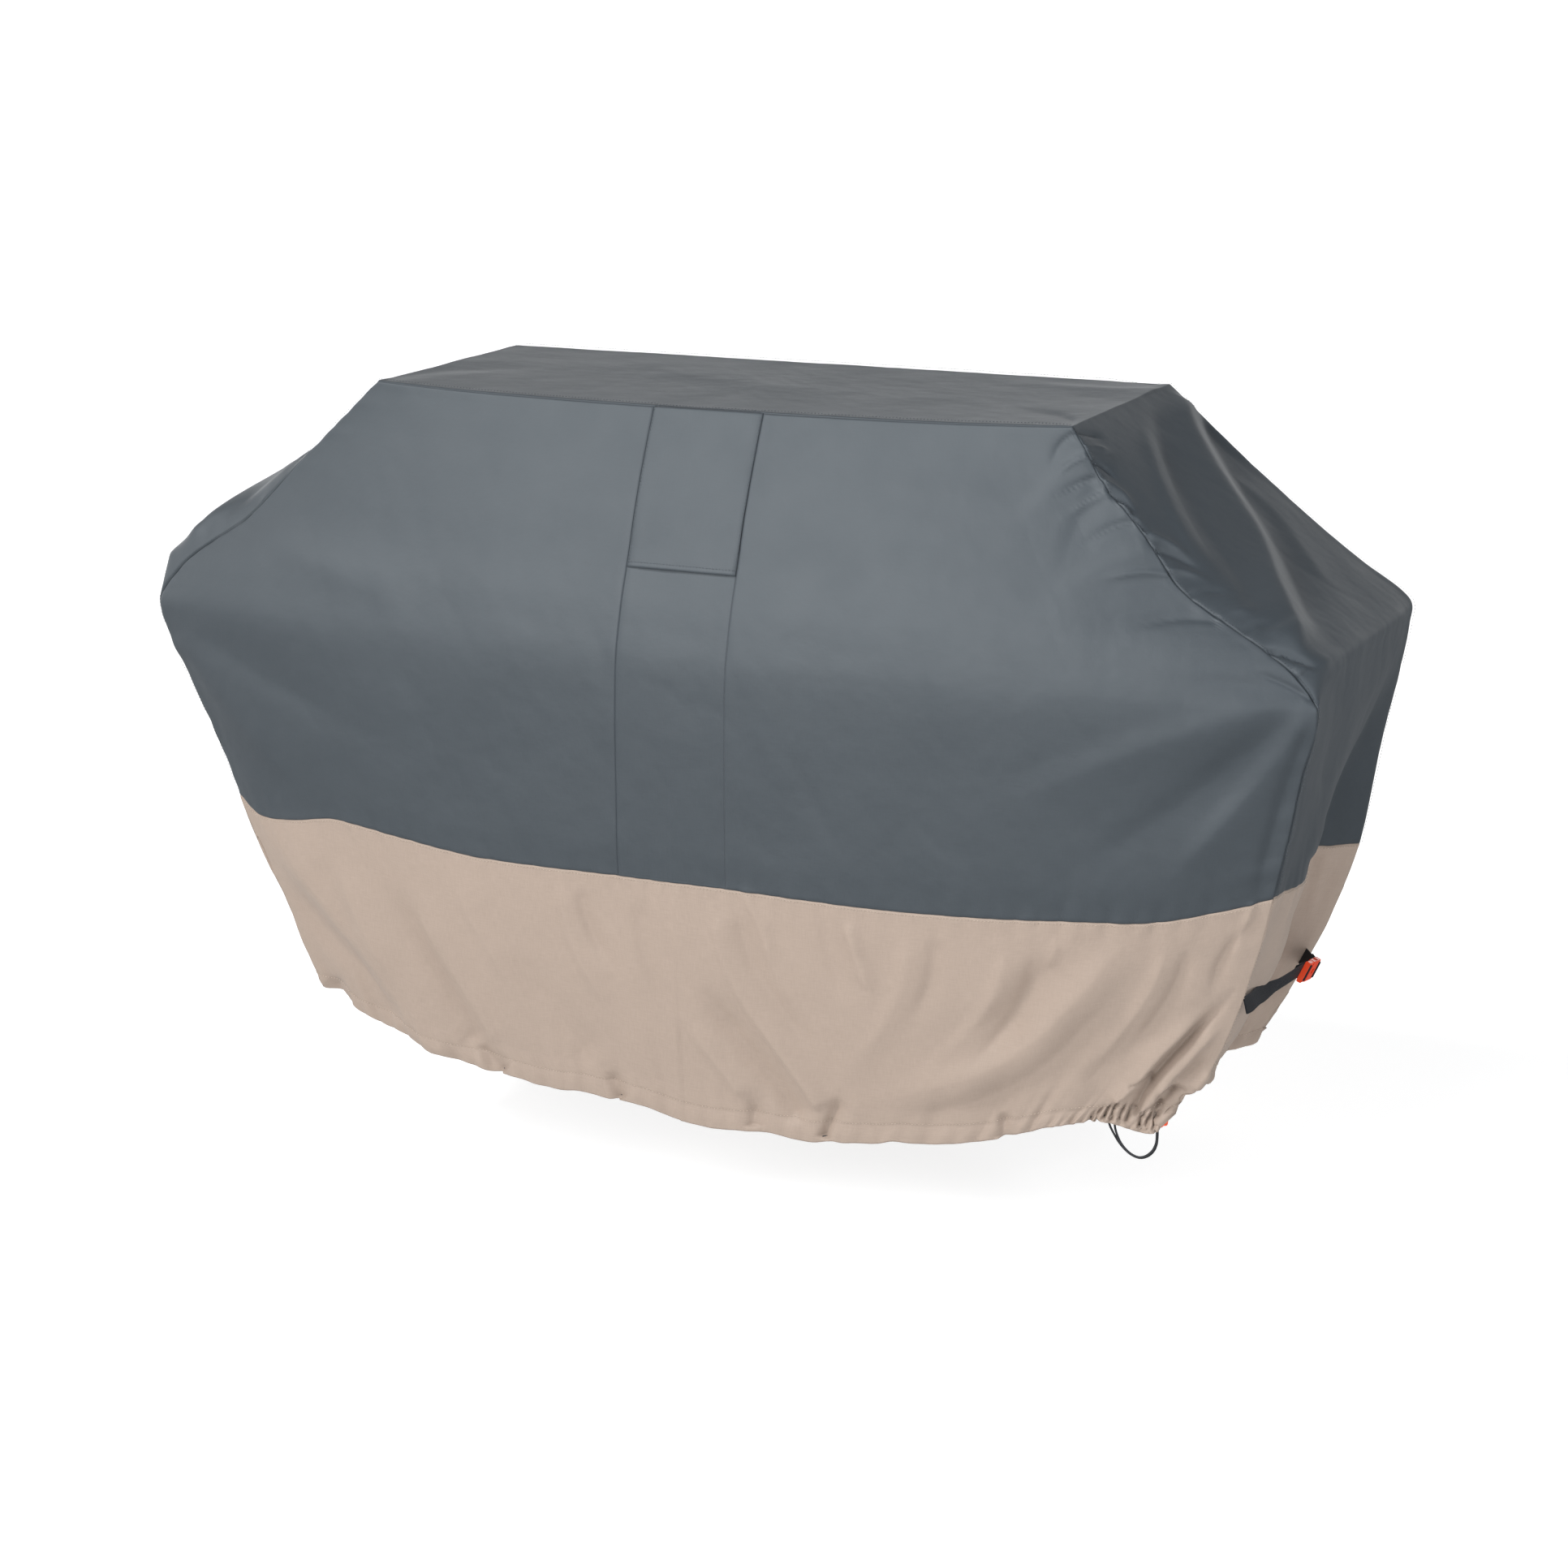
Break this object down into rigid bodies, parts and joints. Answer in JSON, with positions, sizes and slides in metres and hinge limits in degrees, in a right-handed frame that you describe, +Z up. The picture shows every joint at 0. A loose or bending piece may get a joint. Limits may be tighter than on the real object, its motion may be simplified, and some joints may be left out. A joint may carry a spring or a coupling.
{
  "type": "grill cover",
  "caption": "Fitted two-tone fabric cover for a wide cart grill, with front vent strip, side straps with buckles and a cord-locked hem.",
  "frame": {"origin": "centre of the inner face of the flat top, the face that lies on the grill's closed lid", "axes": "+X to the right along the front, +Y to the back, +Z up"},
  "size_m": [1.71, 0.606, 0.9898],
  "materials": {
    "grey_cloth": "tight plain weave polyester with a soft satin sheen",
    "beige_cloth": "tight plain weave polyester, matt",
    "black_mesh": "open knitted mesh",
    "binding_tape": "folded binding tape, matt",
    "webbing": "flat woven webbing",
    "cord": "braided cord, slight sheen",
    "spring_steel": "drawn wire",
    "lock_plastic": "moulded, satin",
    "buckle_plastic": "moulded, satin"
  },
  "bodies": {
    "root": {"gusset_strip": "grey_cloth", "front_panel_left": "grey_cloth", "front_panel_right": "grey_cloth", "centre_panel": "grey_cloth", "vent_header": "grey_cloth", "vent_mesh": "black_mesh", "vent_flap": "grey_cloth", "back_panel": "grey_cloth", "front_skirt": "beige_cloth", "back_skirt": "beige_cloth", "left_skirt": "beige_cloth", "right_skirt": "beige_cloth", "front_seam_binding": "binding_tape", "back_seam_binding": "binding_tape", "hem_casing": "beige_cloth", "hem_drawcord": "cord", "cord_strand_outer": "cord", "cord_strand_inner": "cord", "right_front_webbing": "webbing", "right_rear_webbing": "webbing", "right_buckle_socket": "buckle_plastic", "left_front_webbing": "webbing", "left_rear_webbing": "webbing", "left_buckle_socket": "buckle_plastic"},
    "cord_lock": {"cord_lock_barrel": "lock_plastic", "cord_lock_spring": "spring_steel"},
    "cord_lock_button": {"cord_lock_plunger": "lock_plastic"},
    "right_plug": {"right_buckle_plug": "buckle_plastic"},
    "right_upper_prong": {"right_buckle_upper_prong": "buckle_plastic"},
    "right_lower_prong": {"right_buckle_lower_prong": "buckle_plastic"},
    "left_plug": {"left_buckle_plug": "buckle_plastic"},
    "left_upper_prong": {"left_buckle_upper_prong": "buckle_plastic"},
    "left_lower_prong": {"left_buckle_lower_prong": "buckle_plastic"}
  },
  "joints": [
    {"name": "cord_lock_slide", "type": "slide", "parent": "root", "child": "cord_lock", "axis": [0, 0, -1], "range_m": [0, 0.018]},
    {"name": "cord_lock_press", "type": "slide", "parent": "cord_lock", "child": "cord_lock_button", "axis": [-1, 0, 0], "range_m": [0, 0.0025], "stiffness_N_per_m": 800, "springref_m": -0.004, "deforming": ["cord_lock_spring"]},
    {"name": "right_buckle_release", "type": "slide", "parent": "root", "child": "right_plug", "axis": [0.0206, -0.9821, 0.1874], "range_m": [0, 0.03], "deforming": ["right_front_webbing", "right_buckle_upper_prong", "right_buckle_lower_prong"]},
    {"name": "right_upper_prong_squeeze", "type": "hinge", "parent": "right_plug", "child": "right_upper_prong", "pos_m": [0.75802, 0.14817, -0.79165], "axis": [-0.9218, 0.0539, 0.3838], "range_deg": [0, 9], "stiffness_Nm_per_rad": 0.3, "springref_deg": -5.73},
    {"name": "right_lower_prong_squeeze", "type": "hinge", "parent": "right_plug", "child": "right_lower_prong", "pos_m": [0.74997, 0.14442, -0.81046], "axis": [0.9218, -0.0539, -0.3838], "range_deg": [0, 9], "stiffness_Nm_per_rad": 0.3, "springref_deg": -5.73},
    {"name": "left_buckle_release", "type": "slide", "parent": "root", "child": "left_plug", "axis": [-0.0206, -0.9821, 0.1874], "range_m": [0, 0.03], "deforming": ["left_front_webbing", "left_buckle_upper_prong", "left_buckle_lower_prong"]},
    {"name": "left_upper_prong_squeeze", "type": "hinge", "parent": "left_plug", "child": "left_upper_prong", "pos_m": [-0.70442, 0.14817, -0.79165], "axis": [-0.9218, -0.0539, -0.3838], "range_deg": [0, 9], "stiffness_Nm_per_rad": 0.3, "springref_deg": -5.73},
    {"name": "left_lower_prong_squeeze", "type": "hinge", "parent": "left_plug", "child": "left_lower_prong", "pos_m": [-0.69637, 0.14442, -0.81046], "axis": [0.9218, 0.0539, 0.3838], "range_deg": [0, 9], "stiffness_Nm_per_rad": 0.3, "springref_deg": -5.73}
  ],
  "couplings": [
    {"joint": "right_lower_prong_squeeze", "follows": "right_upper_prong_squeeze", "ratio": 1},
    {"joint": "left_lower_prong_squeeze", "follows": "left_upper_prong_squeeze", "ratio": 1}
  ]
}
